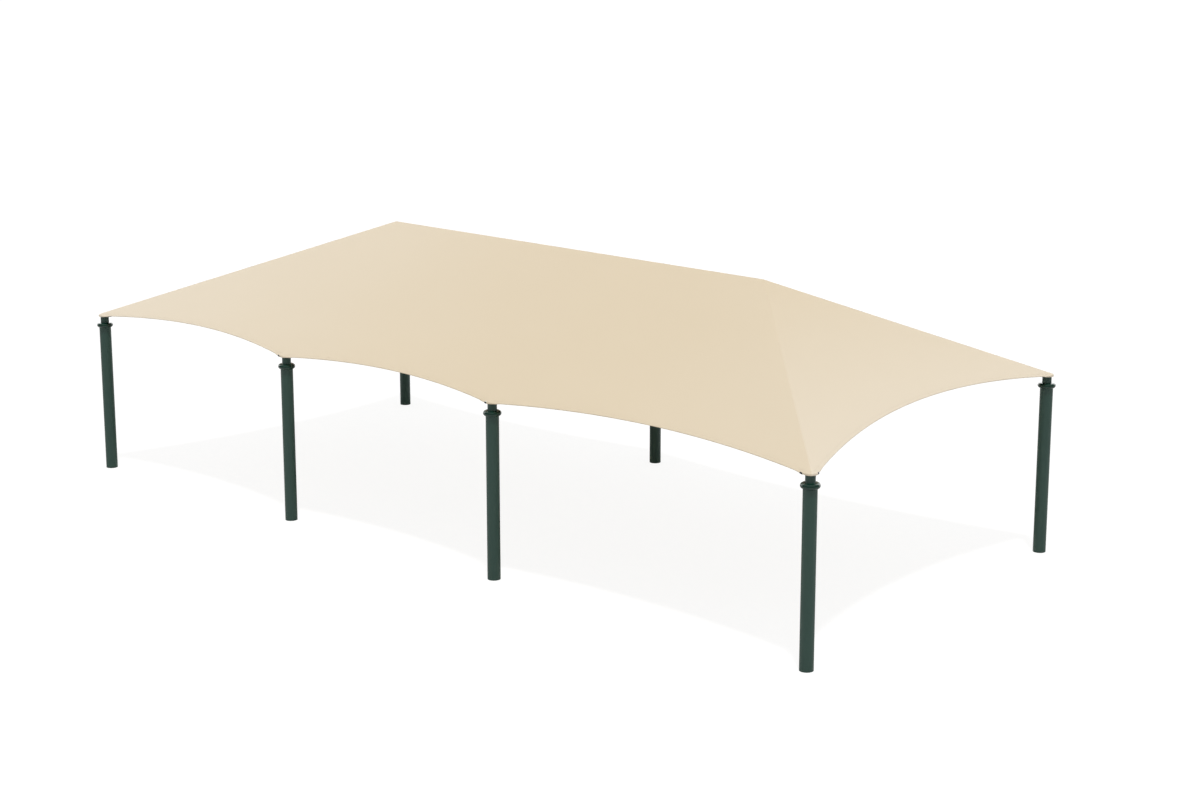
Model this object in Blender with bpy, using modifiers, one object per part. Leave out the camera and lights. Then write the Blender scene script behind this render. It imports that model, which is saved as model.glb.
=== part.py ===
"""Hip-roof shade structure on seven round steel posts.

Four posts stand in the front row and three in the back row. Each carries a rounded collar and a
narrower head pipe. Rafters of round pipe run from the heads to a straight ridge beam, and a
fabric canopy with scalloped edges is stretched over them by one cable that runs round all the
heads. Metres, +Z up, +X along the ridge. The origin is on the ground, in the middle of the plan.
"""

import math

import bmesh
import bpy
from mathutils import Vector

# Plan: the two rows of post axes, and the ridge over the middle of them.
ROW_LENGTH = 17.02
ROW_DEPTH = 7.42
FRONT_FROM_LEFT = (0.0, 5.37, 10.52, ROW_LENGTH)
BACK_FROM_LEFT = (0.39, 7.57, 16.34)
RIDGE_FROM_LEFT = (4.26, 13.14)

# Heights of the fabric's upper face at the axes of the two rows of posts and along the ridge.
FRONT_EAVE_Z = 3.07
BACK_EAVE_Z = 3.165
RIDGE_Z = 4.86

# Posts, collars and heads. A drop is a depth below the fabric's upper face at the post's axis.
POST_R = 0.1095
POST_WALL = 0.0082
POST_FOOT = 0.012
FRONT_COLLAR_Z = 2.828
BACK_COLLAR_Z = 2.933
COLLAR_RIM_R = 0.108
COLLAR_EDGE_R = 0.044
HEAD_R = 0.078
HEAD_SHOULDER_DROP = 0.055
HEAD_DOME = 0.031
SADDLE_THICKNESS = 0.020
SADDLE_DROP = 0.065
SADDLE_MARGIN = math.radians(12)

# Frame pipes.
PIPE_R = 0.05715
PIPE_WALL = 0.006
DRUM_R = 0.0826
DRUM_BOTTOM_Z = 4.67
DRUM_TOP_Z = 4.808
SPIGOT_CLEARANCE = 0.0005
SPIGOT_INSERT = 0.15
SPIGOT_R = PIPE_R - PIPE_WALL - SPIGOT_CLEARANCE

# Canopy and its edge cable.
FABRIC = 0.003
CABLE_R = 0.00475
CABLE_WRAP_R = 0.100
HEM = 0.010
FRONT_SAGS = (0.285, 0.235, 0.27)
RIGHT_SAGS = (0.505,)
BACK_SAGS = (0.41, 0.34)
LEFT_SAGS = (0.49,)
CREASE_INSET = 0.0017
PAST_RIDGE = 0.3
PAST_CREASE = math.radians(15)

GAP = 0.0003
SIDES = 32
PIPE_SIDES = 24
BAY_STEPS = 14
RIM_STEPS = 8
DOME_STEPS = 4
WRAP_STEP = math.radians(10)

FRONT = [Vector((x - ROW_LENGTH / 2, -ROW_DEPTH / 2)) for x in FRONT_FROM_LEFT]
BACK = [Vector((x - ROW_LENGTH / 2, ROW_DEPTH / 2)) for x in BACK_FROM_LEFT]
RIDGE = [Vector((x - ROW_LENGTH / 2, 0)) for x in RIDGE_FROM_LEFT]

# The four sides in turn, anticlockwise from above: posts, sags of the bays, ridge ends it rises to.
SIDES_OF_PLAN = {
    "front": (FRONT, FRONT_SAGS, RIDGE),
    "right": ([FRONT[-1], BACK[-1]], RIGHT_SAGS, RIDGE[1:]),
    "back": (BACK[::-1], BACK_SAGS, RIDGE[::-1]),
    "left": ([BACK[0], FRONT[0]], LEFT_SAGS, RIDGE[:1]),
}


def clear_scene():
    for obj in list(bpy.data.objects):
        bpy.data.objects.remove(obj, do_unlink=True)


def new_collection(name):
    collection = bpy.data.collections.new(name)
    bpy.context.scene.collection.children.link(collection)
    return collection


clear_scene()
PARTS = new_collection("hip_shade_structure")
ADDITIONS = new_collection("welded_additions")

# Finishes: colour, roughness and metallic value.
SATIN_GREEN = ((0.034, 0.068, 0.055), 0.45, 0.0)
GLOSS_GREEN = ((0.020, 0.060, 0.042), 0.20, 0.0)
CABLE_STEEL = ((0.40, 0.41, 0.42), 0.38, 1.0)
SHADE_FABRIC = ((0.78, 0.67, 0.49), 0.85, 0.0)


def material_of(name, finish):
    colour, roughness, metallic = finish
    material = bpy.data.materials.new(name)
    material.use_nodes = True
    shader = material.node_tree.nodes["Principled BSDF"]
    shader.inputs["Base Color"].default_value = (*colour, 1.0)
    shader.inputs["Roughness"].default_value = roughness
    shader.inputs["Metallic"].default_value = metallic
    return material


def add_object(name, data, finish, collection=PARTS):
    obj = bpy.data.objects.new(name, data)
    data.materials.append(material_of(name, finish))
    collection.objects.link(obj)
    return obj


def hide_helper(obj):
    obj.hide_render = True
    obj.display_type = "WIRE"
    return obj


def mesh_of_profile(name, profile, closed):
    """A profile of (radius, height) points as a chain of edges in the XZ plane."""
    mesh = bpy.data.meshes.new(name)
    count = len(profile)
    edges = [(i, (i + 1) % count) for i in range(count if closed else count - 1)]
    mesh.from_pydata([(radius, 0, height) for radius, height in profile], edges, [])
    return mesh


def turned(name, profile, finish, sides=SIDES, closed=False, collection=PARTS):
    """Revolves a profile, which runs down its outer side, about Z."""
    obj = add_object(name, mesh_of_profile(name, profile, closed), finish, collection)
    screw = obj.modifiers.new("turn", "SCREW")
    screw.steps = screw.render_steps = sides
    screw.use_merge_vertices = True
    screw.merge_threshold = 0.00001
    screw.use_smooth_shade = True
    return obj


def pipe(name, start, end, collection=PARTS, radius=PIPE_R, wall=PIPE_WALL):
    """A round pipe between two points. With no wall it is solid."""
    axis = end - start
    length = axis.length
    if wall:
        profile = [(radius, length), (radius, 0), (radius - wall, 0), (radius - wall, length)]
    else:
        profile = [(0, length), (radius, length), (radius, 0), (0, 0)]
    obj = turned(name, profile, SATIN_GREEN, PIPE_SIDES, bool(wall), collection)
    obj.location = start
    obj.rotation_mode = "QUATERNION"
    obj.rotation_quaternion = axis.to_track_quat("Z", "Y")
    return obj


def join(obj, addition):
    boolean = obj.modifiers.new(addition.name, "BOOLEAN")
    boolean.operation = "UNION"
    boolean.object = addition


def plane_through(a, b, c):
    """The slopes (kx, ky) and height k of the plane z = kx * x + ky * y + k through three points."""
    normal = (b - a).cross(c - a)
    kx = -normal.x / normal.z
    ky = -normal.y / normal.z
    return kx, ky, a.z - kx * a.x - ky * a.y


def eave_over(post):
    """Height of the fabric's upper face at a post's axis."""
    return FRONT_EAVE_Z if post.y < 0 else BACK_EAVE_Z


def collar_over(post):
    """Height of the middle of a post's collar."""
    return FRONT_COLLAR_Z if post.y < 0 else BACK_COLLAR_Z


def roof_planes():
    planes = {}
    for side, (posts, _, ridge) in SIDES_OF_PLAN.items():
        first, last, top = posts[0], posts[-1], ridge[0]
        planes[side] = plane_through(
            Vector((first.x, first.y, eave_over(first))),
            Vector((last.x, last.y, eave_over(last))),
            Vector((top.x, top.y, RIDGE_Z)),
        )
    return planes


PLANES = roof_planes()


def plane_height(plane, point):
    kx, ky, k = plane
    return kx * point.x + ky * point.y + k


def under_roof(point, depth):
    """Height at a plan point of the surface this deep, square to the slopes, under the fabric's top."""
    return min(
        plane_height(plane, point) - depth * math.hypot(1, plane[0], plane[1])
        for plane in PLANES.values()
    )


def frame_point(point):
    """The point of the pipes' axes over a plan point, so low that each pipe carries the fabric."""
    return Vector((point.x, point.y, under_roof(point, PIPE_R + FABRIC + GAP)))


def outward(a, b):
    along = (b - a).normalized()
    return Vector((along.y, -along.x))


def bay_lean(a, b, sag):
    """Angle between a bay's chord and its edge where it meets the posts."""
    return math.atan2(4 * sag, (b - a).length)


def angle_of(vector):
    return math.atan2(vector.y, vector.x)


def wrap_angles(before, here, after, sags):
    """Directions, seen from a post's axis, in which its edge leaves one bay and enters the next."""
    start = angle_of(outward(before, here)) - bay_lean(before, here, sags[0])
    end = angle_of(outward(here, after)) + bay_lean(here, after, sags[1])
    while end < start:
        end += 2 * math.pi
    return start, end


def on_circle(centre, radius, angle):
    return centre + radius * Vector((math.cos(angle), math.sin(angle)))


def wrap_points(centre, radius, start, end):
    steps = math.ceil((end - start) / WRAP_STEP)
    return [on_circle(centre, radius, start + (end - start) * i / steps) for i in range(steps + 1)]


def bay_points(a, b, sag, radius):
    """The scalloped edge between two posts, without its ends: a parabola drawn in by the sag."""
    out = outward(a, b)
    lean = bay_lean(a, b, sag)
    start = on_circle(a, radius, angle_of(out) + lean)
    end = on_circle(b, radius, angle_of(out) - lean)
    points = []
    for i in range(1, BAY_STEPS):
        t = i / BAY_STEPS
        points.append(start.lerp(end, t) - out * (4 * sag * t * (1 - t)))
    return points


def plan_loop():
    """Every post once, anticlockwise, with the sag of the bay that follows it."""
    loop = []
    for posts, sags, _ in SIDES_OF_PLAN.values():
        loop += list(zip(posts, sags))
    return loop


def wraps_of_loop():
    """Post position to the pair of angles between which the edge wraps round it."""
    loop = plan_loop()
    wraps = {}
    for i, (post, sag) in enumerate(loop):
        before, sag_before = loop[i - 1]
        after, _ = loop[(i + 1) % len(loop)]
        wraps[tuple(post)] = wrap_angles(before, post, after, (sag_before, sag))
    return wraps


WRAPS = wraps_of_loop()


def named_posts():
    for row, posts in (("front", FRONT), ("back", BACK)):
        for number, post in enumerate(posts, 1):
            yield f"{row}_{number}", post


def make_posts():
    """Round tubes with a closed foot, as high as the underside of their collars."""
    inner = POST_R - POST_WALL
    for name, post in named_posts():
        top = collar_over(post) - COLLAR_EDGE_R - GAP
        inside = [(0, POST_FOOT), (inner, POST_FOOT), (inner, top)]
        outside = [(POST_R, top), (POST_R, 0), (0, 0)]
        obj = turned("post_" + name, inside + outside, SATIN_GREEN)
        obj.location = (post.x, post.y, 0)


def make_collars():
    """A flat disc whose rim is a full half round, lying on the post's top."""
    rim = []
    for i in range(RIM_STEPS + 1):
        angle = math.pi * i / RIM_STEPS
        rim.append((COLLAR_RIM_R + COLLAR_EDGE_R * math.sin(angle), COLLAR_EDGE_R * math.cos(angle)))
    profile = [(0, COLLAR_EDGE_R)] + rim + [(0, -COLLAR_EDGE_R)]
    for name, post in named_posts():
        obj = turned("collar_" + name, profile, GLOSS_GREEN)
        obj.location = (post.x, post.y, collar_over(post))


def saddle_mesh(name, angles):
    """The plate on the head's outer side that the cable bears on, as a sector of a disc."""
    start = angles[0] - SADDLE_MARGIN
    end = angles[1] + SADDLE_MARGIN
    radius = CABLE_WRAP_R * math.cos(WRAP_STEP / 2) - CABLE_R - GAP
    centre = Vector((0, 0))
    outline = wrap_points(centre, radius, start, end)
    outline.append(on_circle(centre, HEAD_R / 2, (start + end) / 2 + math.pi))
    bm = bmesh.new()
    face = bm.faces.new([bm.verts.new((p.x, p.y, -SADDLE_THICKNESS / 2)) for p in outline])
    raised = bmesh.ops.extrude_face_region(bm, geom=[face])["geom"]
    verts = [item for item in raised if isinstance(item, bmesh.types.BMVert)]
    bmesh.ops.translate(bm, verts=verts, vec=(0, 0, SADDLE_THICKNESS))
    bmesh.ops.recalc_face_normals(bm, faces=bm.faces)
    mesh = bpy.data.meshes.new(name)
    bm.to_mesh(mesh)
    bm.free()
    return mesh


def head_profile(stub):
    """A pipe stub with a domed top, measured down from the fabric at the post's axis."""
    dome = []
    for i in range(DOME_STEPS + 1):
        angle = math.pi / 2 * i / DOME_STEPS
        dome.append((HEAD_R * math.sin(angle), HEAD_DOME * math.cos(angle) - HEAD_SHOULDER_DROP))
    return dome + [(HEAD_R, -stub), (0, -stub)]


def make_heads():
    """The stubs, each with its saddle plate welded on. Returns them by name."""
    heads = {}
    for name, post in named_posts():
        eave = eave_over(post)
        stub = eave - collar_over(post) - COLLAR_EDGE_R - GAP
        head = turned("head_" + name, head_profile(stub), SATIN_GREEN)
        head.location = (post.x, post.y, eave)
        saddle_name = "saddle_" + name
        plate = saddle_mesh(saddle_name, WRAPS[tuple(post)])
        saddle = add_object(saddle_name, plate, SATIN_GREEN, ADDITIONS)
        saddle.location = (post.x, post.y, eave - SADDLE_DROP)
        join(head, hide_helper(saddle))
        heads[name] = head
    return heads


def standoff(radius, pitch):
    """How far along a pitched pipe its square end clears an upright round of this radius."""
    return (radius + GAP) / math.cos(pitch) + PIPE_R * math.tan(pitch)


def add_spigot(holder, axis_point, direction, reach, start=0.0):
    """Welds a spigot to its holder. The pipe that slips over it ends at reach."""
    name = f"spigot_{holder.name}_{len(holder.modifiers)}"
    far_end = axis_point + direction * (reach + SPIGOT_INSERT)
    spigot = pipe(name, axis_point + direction * start, far_end, ADDITIONS, SPIGOT_R, 0)
    join(holder, hide_helper(spigot))


def add_rafter(name, head, foot, holder, top, top_reach, top_start=0.0):
    """A rafter between two axis points, slipped over a spigot at each end."""
    direction = (top - foot).normalized()
    low_reach = standoff(HEAD_R, math.asin(direction.z))
    add_spigot(head, foot, direction, low_reach)
    add_spigot(holder, top, -direction, top_reach, top_start)
    pipe(name, foot + direction * low_reach, top - direction * top_reach)


def pitch_between(foot, top):
    return math.asin((top - foot).normalized().z)


def make_drums():
    drums = {}
    profile = [(0, DRUM_TOP_Z), (DRUM_R, DRUM_TOP_Z), (DRUM_R, DRUM_BOTTOM_Z), (0, DRUM_BOTTOM_Z)]
    for side, point in zip(("left", "right"), RIDGE):
        drums[side] = turned("ridge_drum_" + side, profile, SATIN_GREEN)
        drums[side].location = (point.x, point.y, 0)
    return drums


def make_frame(heads):
    """The ridge beam between its end drums, and the rafters from the heads up to them."""
    drums = make_drums()
    ends = {side: frame_point(point) for side, point in zip(("left", "right"), RIDGE)}
    along = Vector((1, 0, 0))
    reach = standoff(DRUM_R, 0)
    ridge = pipe("ridge_beam", ends["left"] + along * reach, ends["right"] - along * reach)
    add_spigot(drums["left"], ends["left"], along, reach)
    add_spigot(drums["right"], ends["right"], -along, reach)
    hips = (
        ("hip_rafter_front_left", "front_1", FRONT[0], "left"),
        ("hip_rafter_front_right", "front_4", FRONT[-1], "right"),
        ("hip_rafter_back_left", "back_1", BACK[0], "left"),
        ("hip_rafter_back_right", "back_3", BACK[-1], "right"),
    )
    for name, head, post, side in hips:
        foot = frame_point(post)
        top_reach = standoff(DRUM_R, pitch_between(foot, ends[side]))
        add_rafter(name, heads[head], foot, drums[side], ends[side], top_reach)
    # The spigots on the ridge beam are rooted so deep that the rim of their end lies in its wall.
    root = math.sqrt((PIPE_R - PIPE_WALL / 2) ** 2 - SPIGOT_R**2)
    middles = (
        ("mid_rafter_front_left", "front_2", FRONT[1]),
        ("mid_rafter_front_right", "front_3", FRONT[2]),
        ("mid_rafter_back", "back_2", BACK[1]),
    )
    for name, head, post in middles:
        top = frame_point(Vector((post.x, 0)))
        add_rafter(name, heads[head], frame_point(post), ridge, top, PIPE_R + GAP, root)


def make_cable():
    """One closed cable under the fabric's edge, borne by the saddles of all the heads."""
    loop = plan_loop()
    points = []
    for i, (post, sag) in enumerate(loop):
        after, _ = loop[(i + 1) % len(loop)]
        start, end = WRAPS[tuple(post)]
        for point in wrap_points(post, CABLE_WRAP_R, start, end):
            points.append((point.x, point.y, eave_over(post) - SADDLE_DROP))
        for point in bay_points(post, after, sag, CABLE_WRAP_R):
            points.append((point.x, point.y, under_roof(point, CABLE_R + FABRIC + GAP)))
    curve = bpy.data.curves.new("perimeter_cable", "CURVE")
    curve.dimensions = "3D"
    spline = curve.splines.new("POLY")
    spline.points.add(len(points) - 1)
    for target, point in zip(spline.points, points):
        target.co = (*point, 1)
    spline.use_cyclic_u = True
    curve.bevel_depth = CABLE_R
    curve.bevel_resolution = 2
    add_object("perimeter_cable", curve, CABLE_STEEL)


def side_outline(side):
    """Plan outline of one side's fabric: its scalloped edge, then two points past the creases."""
    posts, sags, ridge = SIDES_OF_PLAN[side]
    radius = CABLE_WRAP_R + HEM
    points = []
    for i, post in enumerate(posts):
        start, end = WRAPS[tuple(post)]
        if i == 0:
            start = angle_of(post - ridge[0]) - PAST_CREASE
        if i == len(posts) - 1:
            end = angle_of(post - ridge[-1]) + PAST_CREASE
        while end < start:
            end += 2 * math.pi
        while end - start > 2 * math.pi:
            end -= 2 * math.pi
        points += wrap_points(post, radius, start, end)
        if i < len(posts) - 1:
            points += bay_points(post, posts[i + 1], sags[i], radius)
    inward = -outward(posts[0], posts[-1])
    points += [end + inward * PAST_RIDGE for end in reversed(ridge)]
    return points


def make_canopy():
    """Four slopes, each a flat sheet cut a hair short of the ridge and hips it meets."""
    for side, (posts, _, ridge) in SIDES_OF_PLAN.items():
        plane = PLANES[side]
        bm = bmesh.new()
        verts = [bm.verts.new((p.x, p.y, plane_height(plane, p))) for p in side_outline(side)]
        bm.faces.new(verts)
        creases = [(ridge[0], posts[0]), (posts[-1], ridge[-1])]
        if len(ridge) == 2:
            creases.append((ridge[1], ridge[0]))
        for start, end in creases:
            out = outward(start, end)
            edge = start - out * CREASE_INSET
            bmesh.ops.bisect_plane(
                bm,
                geom=bm.verts[:] + bm.edges[:] + bm.faces[:],
                plane_co=(edge.x, edge.y, 0),
                plane_no=(out.x, out.y, 0),
                clear_outer=True,
            )
        bmesh.ops.recalc_face_normals(bm, faces=bm.faces)
        for face in bm.faces:
            if face.normal.z < 0:
                face.normal_flip()
        mesh = bpy.data.meshes.new("canopy_" + side)
        bm.to_mesh(mesh)
        bm.free()
        panel = add_object("canopy_" + side, mesh, SHADE_FABRIC)
        solidify = panel.modifiers.new("cloth", "SOLIDIFY")
        solidify.thickness = FABRIC
        solidify.offset = -1


def main():
    make_posts()
    make_collars()
    make_frame(make_heads())
    make_cable()
    make_canopy()


main()
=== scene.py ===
"""Looks of the hip shade structure: tensioned cloth, edge cable, painted steel and the studio.

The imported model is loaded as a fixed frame. The cloth and the edge cable replace their plain CAD
solids, the steel keeps its CAD solids and gets paint, welds and bolts. Metres, +Z up.
"""

import logging
import math
from dataclasses import dataclass, field
from enum import Enum
from typing import Any, Optional, Sequence, Union

import bmesh
import bpy
import numpy as np
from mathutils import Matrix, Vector
from mathutils.geometry import delaunay_2d_cdt


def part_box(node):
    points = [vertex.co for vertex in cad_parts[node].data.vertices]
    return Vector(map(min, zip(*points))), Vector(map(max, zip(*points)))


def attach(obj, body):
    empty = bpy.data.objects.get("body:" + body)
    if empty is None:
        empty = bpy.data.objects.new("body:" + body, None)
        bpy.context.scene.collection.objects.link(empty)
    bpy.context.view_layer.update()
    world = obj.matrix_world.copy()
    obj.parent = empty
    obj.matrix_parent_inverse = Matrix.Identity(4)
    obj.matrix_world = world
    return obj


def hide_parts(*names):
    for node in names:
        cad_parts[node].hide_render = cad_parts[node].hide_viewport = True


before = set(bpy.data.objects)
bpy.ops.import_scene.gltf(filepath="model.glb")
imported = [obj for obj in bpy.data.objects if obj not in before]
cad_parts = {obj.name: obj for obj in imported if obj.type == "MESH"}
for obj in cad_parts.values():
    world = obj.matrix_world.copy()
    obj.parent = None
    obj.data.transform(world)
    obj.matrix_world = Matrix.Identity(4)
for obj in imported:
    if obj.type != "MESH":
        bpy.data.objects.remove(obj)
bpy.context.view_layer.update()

log = logging.getLogger("hip_shade")
Colour = tuple[float, float, float]
Number = Union[int, float]
Operand = Union["Value", Number]
Term = Union["Value", Number, str, Colour, bpy.types.Material]
Key = Union[str, int]
Settings = dict[str, Any]
Sockets = dict[Key, Term]
Notches = tuple[Optional[float], Optional[float]]
Station = tuple[np.ndarray, np.ndarray, float, float, float]
BODY = "root"
TURN = 2 * math.pi
UP = np.array([0.0, 0.0, 1.0])
WHITE: Colour = (1.0, 1.0, 1.0)


class Slot(Enum):
    """Names of the material slots."""

    POST = "post_green"
    FRAME = "frame_green"
    CABLE = "cable_steel"
    FABRIC = "shade_fabric"


# Node trees


class Value:
    """A socket of a node tree. Arithmetic on it adds Math nodes."""

    def __init__(self, graph: "Graph", socket: bpy.types.NodeSocket) -> None:
        """Wraps one output socket of a graph's tree."""
        self.graph = graph
        self.socket = socket

    def _maths(self, operation: str, *terms: Operand) -> "Value":
        """Adds one Math node, with its values or links in the order of its sockets."""
        return self.graph.value("ShaderNodeMath", {"operation": operation}, dict(enumerate(terms)))

    def __add__(self, other: Operand) -> "Value":
        """self + other."""
        return self._maths("ADD", self, other)

    __radd__ = __add__

    def __sub__(self, other: Operand) -> "Value":
        """self - other."""
        return self._maths("SUBTRACT", self, other)

    def __rsub__(self, other: Operand) -> "Value":
        """other - self."""
        return self._maths("SUBTRACT", other, self)

    def __mul__(self, other: Operand) -> "Value":
        """self * other."""
        return self._maths("MULTIPLY", self, other)

    __rmul__ = __mul__

    def sine(self) -> "Value":
        """Sine of an angle in radians."""
        return self._maths("SINE", self)

    def wave(self) -> "Value":
        """Sine of an angle in radians, from 0 to 1."""
        return self.sine() * 0.5 + 0.5

    def raised(self, power: Number) -> "Value":
        """This value to a power."""
        return self._maths("POWER", self, power)

    def absolute(self) -> "Value":
        """Size without the sign."""
        return self._maths("ABSOLUTE", self)

    def larger(self, other: Operand) -> "Value":
        """The larger of two values."""
        return self._maths("MAXIMUM", self, other)

    def between(self, low: Number, high: Number) -> "Value":
        """Rises smoothly from 0 at low to 1 at high."""
        sockets = {"Value": self, "From Min": low, "From Max": high}
        return self.graph.value("ShaderNodeMapRange", {"interpolation_type": "SMOOTHSTEP"}, sockets)


class Graph:
    """A node tree, and the one method that adds nodes to it."""

    def __init__(self, tree: bpy.types.NodeTree) -> None:
        """Empties the tree."""
        self.tree = tree
        tree.nodes.clear()

    def node(
        self, kind: str, settings: Optional[Settings] = None, sockets: Optional[Sockets] = None
    ) -> bpy.types.Node:
        """Adds a node.

        Args:
            kind: The node's type.
            settings: Its properties, set first.
            sockets: Values or links for its inputs, by identifier, name or number.

        Returns:
            The new node.
        """
        node = self.tree.nodes.new(kind)
        for name, value in (settings or {}).items():
            setattr(node, name, value)
        for key, value in (sockets or {}).items():
            socket = self._socket(node.inputs, key)
            if isinstance(value, Value):
                self.tree.links.new(value.socket, socket)
            elif socket.type == "RGBA":
                socket.default_value = (*value, 1.0)
            else:
                socket.default_value = value
        return node

    @staticmethod
    def _socket(sockets: Any, key: Key) -> bpy.types.NodeSocket:
        """Finds a socket.

        Args:
            sockets: A node's inputs or outputs.
            key: The socket's number, identifier or name.

        Returns:
            The socket.
        """
        if isinstance(key, int):
            return sockets[key]
        for socket in sockets:
            if socket.identifier == key:
                return socket
        return sockets[key]

    def out(self, node: bpy.types.Node, key: Key = 0) -> Value:
        """One output of a node, ready for arithmetic."""
        return Value(self, self._socket(node.outputs, key))

    def value(
        self,
        kind: str,
        settings: Optional[Settings] = None,
        sockets: Optional[Sockets] = None,
        output: Key = 0,
    ) -> Value:
        """Adds a node and returns one of its outputs."""
        return self.out(self.node(kind, settings, sockets), output)

    def mix_colour(self, factor: Term, low: Term, high: Term) -> Value:
        """Mixes two colours by a factor from 0 to 1."""
        sockets = {"Factor_Float": factor, "A_Color": low, "B_Color": high}
        return self.value("ShaderNodeMix", {"data_type": "RGBA"}, sockets, "Result_Color")

    def vector(self, operation: str, *terms: Term) -> Value:
        """Adds one Vector Math node and returns its vector."""
        sockets = dict(enumerate(terms))
        return self.value("ShaderNodeVectorMath", {"operation": operation}, sockets, "Vector")

    def split(self, vector: Value) -> tuple[Value, ...]:
        """The three numbers of a vector."""
        node = self.node("ShaderNodeSeparateXYZ", {}, {0: vector})
        return tuple(self.out(node, number) for number in range(3))

    def noise(
        self, place: Value, scale: float, detail: float = 2.0, stretch: tuple[float, ...] = (1, 1, 1)
    ) -> Value:
        """Smooth noise.

        Args:
            place: The coordinates that it reads.
            scale: Blobs a metre.
            detail: Number of finer octaves.
            stretch: Factors on the three coordinates.

        Returns:
            Its value, about 0.5 on average.
        """
        stretched = self.vector("MULTIPLY", place, stretch)
        sockets = {"Vector": stretched, "Scale": scale, "Detail": detail}
        return self.value("ShaderNodeTexNoise", {}, sockets)


class SurfaceGraph(Graph):
    """A material's tree with one Principled BSDF."""

    def __init__(self, name: str) -> None:
        """Makes the material, with an empty tree that reads Object coordinates.

        Args:
            name: The material's name.
        """
        self.material = bpy.data.materials.new(name)
        self.material.use_nodes = True
        super().__init__(self.material.node_tree)
        self.place = self.value("ShaderNodeTexCoord", output="Object")

    def own_map(self, name: str) -> Value:
        """The coordinates of the piece's own UV map."""
        return self.value("ShaderNodeUVMap", {"uv_map": name})

    def bump(self, height: Value, depth: float, under: Optional[Value] = None) -> Value:
        """Raises a surface's grain.

        Args:
            height: Heights from 0 to 1.
            depth: What 1 stands for, in metres.
            under: A coarser bump that lies under it.

        Returns:
            The bent normal.
        """
        sockets: Sockets = {"Height": height, "Distance": depth, "Strength": 1.0}
        if under is not None:
            sockets["Normal"] = under
        return self.value("ShaderNodeBump", {}, sockets)

    def finish(self, **sockets: Term) -> bpy.types.Material:
        """Joins the shader to the output.

        Args:
            sockets: The shader's inputs, with an underscore for each space in their names.

        Returns:
            The finished material.
        """
        named = {key.replace("_", " "): value for key, value in sockets.items()}
        shader = self.value("ShaderNodeBsdfPrincipled", {}, named)
        self.node("ShaderNodeOutputMaterial", {}, {"Surface": shader})
        return self.material


# Finishes


def scaled(colour: Colour, factor: float) -> Colour:
    """A colour made darker or lighter by a factor."""
    red, green, blue = colour
    return red * factor, green * factor, blue * factor


@dataclass(frozen=True)
class PowderCoat:
    """Thermoset powder coat on steel, with a fine orange peel and a slight drift in shade."""

    name: str
    colour: Colour
    roughness: float
    drift: float = 0.10
    drift_scale: float = 1.7
    peel_scale: float = 420.0
    peel_depth: float = 0.00022
    flow_scale: float = 26.0
    flow_depth: float = 0.0006
    smudge_scale: float = 5.0
    smudge_stretch: tuple[float, float, float] = (1.0, 1.0, 0.35)
    smudge: float = 0.10

    def material(self) -> bpy.types.Material:
        """Builds the paint's material.

        Returns:
            The material.
        """
        graph = SurfaceGraph(self.name)
        cloud = graph.noise(graph.place, self.drift_scale, detail=3.0)
        shade = (cloud - 0.5) * (4 * self.drift) + 0.5
        colour = graph.mix_colour(
            shade, scaled(self.colour, 1 - self.drift), scaled(self.colour, 1 + self.drift)
        )
        peel = graph.noise(graph.place, self.peel_scale, detail=1.0)
        flow = graph.noise(graph.place, self.flow_scale, detail=1.0)
        smudge = graph.noise(graph.place, self.smudge_scale, detail=4.0, stretch=self.smudge_stretch)
        normal = graph.bump(peel, self.peel_depth, graph.bump(flow, self.flow_depth))
        return graph.finish(
            Base_Color=colour,
            Roughness=smudge * self.smudge + (self.roughness - self.smudge / 2),
            Normal=normal,
        )


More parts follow.
